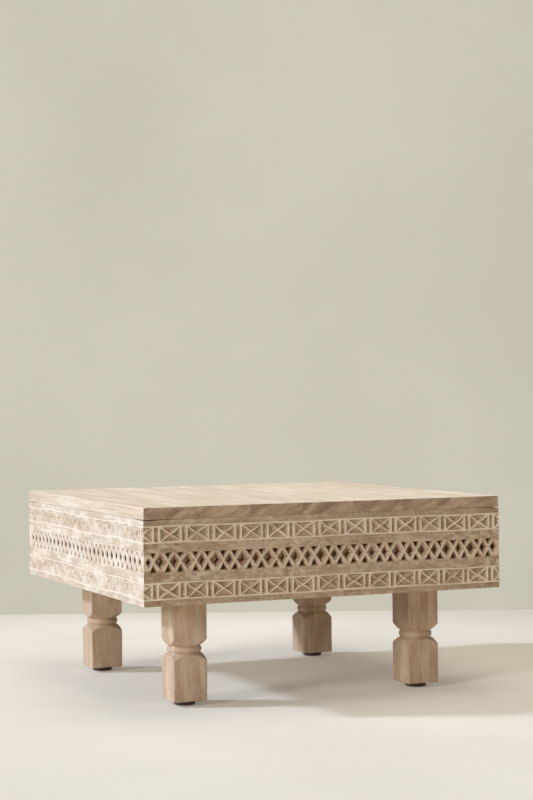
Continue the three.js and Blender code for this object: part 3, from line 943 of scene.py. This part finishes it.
for i, (side, bands, lattice) in enumerate(boards):
    board = plain_object(f"carved_board_{side}", board_blank(i))
    tools = [[warped(t, i) for t in bands], [warped(t, i) for t in lattice]]
    for way, other in ((1, boards[(i + 1) % 4]), (-1, boards[i - 1])):
        for group in other[1:]:
            tools.append([turned_tools(t, way) for t in group if reaches(t, way)])
    carve(board, *[plain_object("tool", joined(group)) for group in tools])
    turn = Matrix.Rotation(i * math.pi / 2, 4, "Z")
    # Side boards take the sunlit copy of the carved wood, front and back boards the shaded copy
    dress(board, "carved_wood", [f"apron_{side}"], turn @ at(0, -half_table, apron_bottom),
          sharp=38.0, material=sunlit_carved_wood if i % 2 else carved_wood)

# Top boards
for i in range(7):
    plank(f"washed_board_{i + 1}", f"top_board_{i + 1}", INWARD, "top_wood",
          ease=0.7, step=40.0, wave=0.1)

# Legs


def turned_radius(height):
    """How far a point of the leg may stand from its axis, at a height from the foot."""
    from_bead = abs(height - bead_height)
    full = leg_side / math.sqrt(2) + 2
    if from_bead <= bead_half:
        swell = math.sqrt(max(0.0, 1 - (from_bead / bead_half) ** 2))
        return neck_radius + (bead_radius - neck_radius) * swell
    if from_bead <= neck_half:
        return neck_radius
    share = min(1.0, (from_bead - neck_half) / shoulder_height)
    return neck_radius + (full - neck_radius) * share ** shoulder_power


def limited(outline, radius, x, blend):
    """A ring of an outline cut down to a radius, rounded where the two meet."""
    ring = []
    for y, z in outline:
        size = math.hypot(y, z)
        near = max(0.0, 1 - abs(size - radius) / blend)
        scale = (min(size, radius) - blend * near * near / 4) / size
        ring.append((x, y * scale, z * scale))
    return ring


def circle_like(outline, radius, x):
    """A round ring with a point for each of an outline's."""
    return [(x, y * radius / math.hypot(y, z), z * radius / math.hypot(y, z)) for y, z in outline]


def uneven(point, seed):
    """A point of a leg's square stretches, drawn in as by the plane."""
    x, y, z = point
    shrink = 1 - 0.006 * (0.5 + 0.5 * noise.noise(Vector((x / 40, y / 30, z / 30 + seed))))
    return x, y * shrink, z * shrink


def leg_skin(length, seed):
    """A square billet with its foot bored and its bead and shoulders turned."""
    outline = rounded_outline(rectangle(leg_side / 2, leg_side / 2), 2.2, 3.2)
    bores = [(25.0, 0.01), (25.0, 4.3), (18.3, 4.3), (18.3, 7.3), (1.9, 7.3), (1.9, 10.8),
             (0.0, 10.8)]
    rings = [circle_like(outline, radius, x) for x, radius in bores]
    for x, inset in ((0.0, 2.2), (0.6, 1.0), (1.4, 0.3)):
        scale = 1 - inset / (leg_side / 2)
        rings.append([(x, y * scale, z * scale) for y, z in outline])
    turned_steps = round(2 * turned_reach / turned_step)
    heights = [2.4, *range(12, 85, 12)]
    heights += [bead_height - turned_reach + turned_step * i for i in range(turned_steps + 1)]
    heights += [150, *range(160, 233, 12), 243, length - 0.8]
    for height in heights:
        ring = limited(outline, turned_radius(height), height, 1.6)
        if abs(height - bead_height) > turned_reach:
            ring = [uneven(point, seed) for point in ring]
        rings.append(ring)
    rings.append([(length, y * 0.99, z * 0.99) for y, z in outline])
    return shell(rings)


def looped(rings):
    """A skin over rings whose last joins the first, such as a washer's."""
    points, faces = shell(rings, closed=False)
    count = len(rings[0])
    last = len(points) - count
    faces += [(last + j, last + (j + 1) % count, (j + 1) % count, j) for j in range(count)]
    return points, faces


def thread(radius, depth, pitch, length, plain=0.0):
    """A threaded rod along x, plain near its foot."""
    sides, per_turn, tip = 24, 8, 0.6
    run = length - 2 * tip
    rings = lathe([(0.0, 0.9 * radius)], sides)
    count = round(run / pitch * per_turn)
    for i in range(count + 1):
        x = tip + run * i / count
        ring = []
        for j in range(sides):
            turn = (x / pitch - j / sides) % 1
            dip = depth * (1 - abs(2 * turn - 1)) if x > plain else 0.0
            angle = 2 * math.pi * j / sides
            ring.append((x, (radius - dip) * math.cos(angle), (radius - dip) * math.sin(angle)))
        rings.append(ring)
    rings.append([(length, y * 0.85, z * 0.85) for x, y, z in rings[-1]])
    return shell(rings)


def nut_skin(radius, thickness, bore):
    """A hexagon with its corners chamfered and its hole countersunk."""
    chamfered = radius * math.cos(math.pi / 6) * 0.96
    corners = [(radius * math.cos(math.pi * i / 3), radius * math.sin(math.pi * i / 3))
               for i in range(6)]
    outline = rounded_outline(corners, 0.3, 1.4)
    outside = [(0.0, chamfered), (0.9, radius * 0.99), (thickness - 0.9, radius * 0.99),
               (thickness, chamfered)]
    inside = [(thickness, bore + 0.6), (thickness - 0.6, bore), (0.6, bore), (0.0, bore + 0.6)]
    rings = [limited(outline, reach, x, 0.3) for x, reach in outside]
    return looped(rings + [circle_like(outline, reach, x) for x, reach in inside])


pad_profile = [(0.5, 0.01), (0.5, 16.5), (0.0, 17.3), (0.0, 21.8), (0.5, 23.5), (1.6, 24.6),
               (3.2, 25.0), (8.6, 24.7), (10.0, 24.1), (10.8, 23.2), (11.0, 22.2), (11.0, 5.2),
               (10.7, 4.4), (5.1, 4.35), (5.1, 0.01)]
insert_profile = [(0.0, 10.1), (0.35, 10.5), (1.3, 10.5), (1.6, 10.2), (1.6, 7.0), (17.4, 7.0),
                  (18.0, 6.5), (18.0, 4.9), (17.4, 4.35), (0.8, 4.35), (0.0, 5.0)]
washer_profile = [(0.0, 13.7), (0.3, 14.0), (1.7, 14.0), (2.0, 13.7), (2.0, 5.6), (0.0, 5.6)]

corner_names = ("front_left", "front_right", "back_left", "back_right")
for corner in corner_names:
    leg, leg_size = extent(f"leg_{corner}")
    stem_length = extent(f"glide_stem_{corner}")[1].z
    bolt_length = extent(f"hanger_bolt_{corner}")[1].z
    seed = leg.x / 100 + leg.y / 70
    bodies = {"glide_pad": f"pad_{corner}", "glide_stem": f"stem_{corner}"}
    for name, node, slot, skin in (
        ("turned_leg", "leg", "leg_wood", leg_skin(leg_size.z, seed)),
        ("glide_moulding", "glide_pad", "glide_plastic", shell(lathe(pad_profile, 64))),
        ("threaded_stem", "glide_stem", "zinc_steel", thread(4.0, 0.6, 1.25, stem_length, 3.0)),
        ("flanged_insert", "glide_insert", "insert_brass", looped(lathe(insert_profile, 48))),
        ("threaded_hanger", "hanger_bolt", "zinc_steel", thread(5.0, 0.7, 1.5, bolt_length)),
        ("plain_washer", "washer", "zinc_steel", looped(lathe(washer_profile, 48))),
        ("hex_nut", "nut", "zinc_steel", nut_skin(9.8, 8.0, 4.9)),
    ):
        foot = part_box(f"{node}_{corner}")[0].z / MM
        piece(f"{name}_{corner}", skin, slot, [f"{node}_{corner}"],
              at(leg.x, leg.y, foot, UPRIGHT), bodies.get(node, "table"),
              sharp=42.0 if node == "leg" else 35.0)

# Frame inside the box
board_places = [(i - 3) * 2 * half_table / 7 for i in range(7)]
batten_screws = [(x + way * 30, way * 13) for x in board_places for way in (-1, 1)]
long_cleat_screws = [(x, 0) for x in board_places]
short_cleat_screws = [(x, 0) for x in (-350, -175, 0, 175, 350)]
ledger_screws = [(end * 424, way * 42) for end in (-1, 1) for way in (-1, 1)]
bolt_places = [(end * leg_axis, 0) for end in (-1, 1)]
for nodes, turn, driven, bolts in (
    (("cleat_front", "cleat_back"), ACROSS, long_cleat_screws, ()),
    (("cleat_left", "cleat_right"), INWARD, short_cleat_screws, ()),
    (("batten_front", "batten_back"), ACROSS, batten_screws, ()),
    (("bearer_left", "bearer_right"), INWARD, ledger_screws, bolt_places),
    ([f"ledger_{corner}" for corner in corner_names], ACROSS, (), ()),
):
    for node in nodes:
        plank(f"sawn_{node}", node, turn, "frame_wood", driven=driven, bolts=bolts)


def block_outline(inset):
    """The triangle of a corner block about its middle, its right angle in the corner."""
    far = block_leg - inset * (1 + math.sqrt(2))
    third = block_leg / 3
    corners = [(inset, inset), (far, inset), (inset, far)]
    return rounded_outline([(x - third, y - third) for x, y in corners], 1.2, 100.0)


for i, corner in enumerate(("front_left", "front_right", "back_right", "back_left")):
    middle, size = extent(f"corner_block_{corner}")
    spot = block_leg / 3 - inner_half
    skin = bar(block_outline, size.z, 1.0, 12.0, 0.3, i * 3.0)
    turned = Matrix.Rotation(i * math.pi / 2, 4, "Z")
    piece(f"sawn_corner_block_{corner}", skin, "frame_wood",
          [f"corner_block_{corner}"], turned @ at(spot, spot, middle.z, UPRIGHT))

# Camera at the photograph's viewing angle
table_side = 2 * half_table * MM
photo_height = 800
focal_length = 1846.186  # in the photograph's pixels
camera_place = (-1.99983, -4.74290, 0.774571)  # in sides of the table
camera_lift = 0.0065
yaw, pitch, roll = 0.4073878, -0.0016679, -0.0100638
camera_data = bpy.data.cameras.new("camera")
camera_data.sensor_width = 36
camera_data.lens = focal_length / photo_height * camera_data.sensor_width
camera_data.clip_end = 60
camera = linked("camera", camera_data)
ahead = Vector((math.sin(yaw) * math.cos(pitch), math.cos(yaw) * math.cos(pitch), math.sin(pitch)))
level_right = Vector((math.cos(yaw), -math.sin(yaw), 0))
level_up = level_right.cross(ahead)
right = level_right * math.cos(roll) + level_up * math.sin(roll)
upward = level_up * math.cos(roll) - level_right * math.sin(roll)
turn = Matrix((right, upward, -ahead)).transposed().to_4x4()
place = Vector(camera_place) * table_side + Vector((0, 0, camera_lift))
camera.matrix_world = Matrix.Translation(place) @ turn
bpy.context.scene.camera = camera

# Floor and wall, each seen from one side only


def one_sided(name, colours, patches, dim, glow):
    """A plain surface, clear from behind, darker to the light that bounces off it."""
    s = Shade(bpy.data.materials.new(name))
    cloud = s.noise(s.node("TexCoord", out=3), (patches, patches, patches), 4.0, 0.55)
    tint = s.mix(s.step(cloud, 0.3, 0.7), srgb(colours[0]), srgb(colours[1]))
    shown = s.seen()
    matt = s.node("BsdfDiffuse", {"Color": s.mix(shown, srgb(dim), tint)})
    even = s.node("Emission", {"Color": tint, "Strength": 1.0})
    matt = s.node("MixShader", {0: s.times(shown, glow), 1: matt, 2: even})
    clear = s.node("BsdfTransparent")
    behind = s.node("NewGeometry", out=6)
    return s.finish(s.node("MixShader", {0: behind, 1: matt, 2: clear}))


def sheet_object(name, corners, material):
    mesh = bpy.data.meshes.new(name)
    mesh.from_pydata(corners, [], [(0, 1, 2, 3)])
    mesh.materials.append(material)
    linked(name, mesh)


wall_distance = 1.43
floor_size = 9.0
wall_half_width = 7.0
wall_height = 5.0
floor = one_sided("pale_floor", (0xe7e0d2, 0xf0e9dc), 1.2, 0xeae1d2, 0.2)
sheet_object("floor", [(x, y, 0) for x, y in rectangle(floor_size, floor_size)], floor)
wall = one_sided("pale_wall", (0xc6c2b0, 0xcecaba), 0.9, 0xb4b0a8, 0.9)
across = level_right * wall_half_width
base = Vector((math.sin(yaw), math.cos(yaw), 0)) * wall_distance
tall = Vector((0, 0, wall_height))
sheet_object("wall", [base - across, base + across, base + across + tall, base - across + tall],
             wall)


def lamp(name, kind, place, power, colour, **settings):
    """A lamp that looks at the table."""
    data = bpy.data.lights.new(name, kind)
    data.energy = power
    data.color = colour
    for key, value in settings.items():
        setattr(data, key, value)
    obj = linked(name, data)
    obj.location = place
    obj.rotation_mode = "QUATERNION"
    obj.rotation_quaternion = (Vector((0, 0, 0.3)) - Vector(place)).to_track_quat("-Z", "Y")


lamp("key", "SUN", (-4.0, 1.73, 2.75), 2.2, (0.84, 1.01, 1.28), angle=math.radians(5))
lamp("side_fill", "SUN", (-4.7, -1.8, 1.8), 1.66, (0.95, 0.96, 0.98), angle=math.radians(15))
lamp("front_fill", "AREA", (-1.5, -4.4, 0.36), 16, (1.0, 0.82, 0.66), shape="RECTANGLE",
     size=2.0, size_y=0.6)
lamp("overhead", "AREA", (0.2, -0.2, 3.3), 42, (1.0, 0.94, 0.87), size=2.6)

s = Shade(bpy.data.worlds.new("studio"))
dome = s.node("Background", {"Color": (1, 0.92, 0.78, 1), "Strength": 0.22})
pale = s.node("Background", {"Color": srgb(0xcac6b5), "Strength": 1.0})
bpy.context.scene.world = s.finish(s.node("MixShader", {0: s.seen(), 1: dome, 2: pale}), "World")
bpy.context.scene.view_settings.view_transform = "Standard"
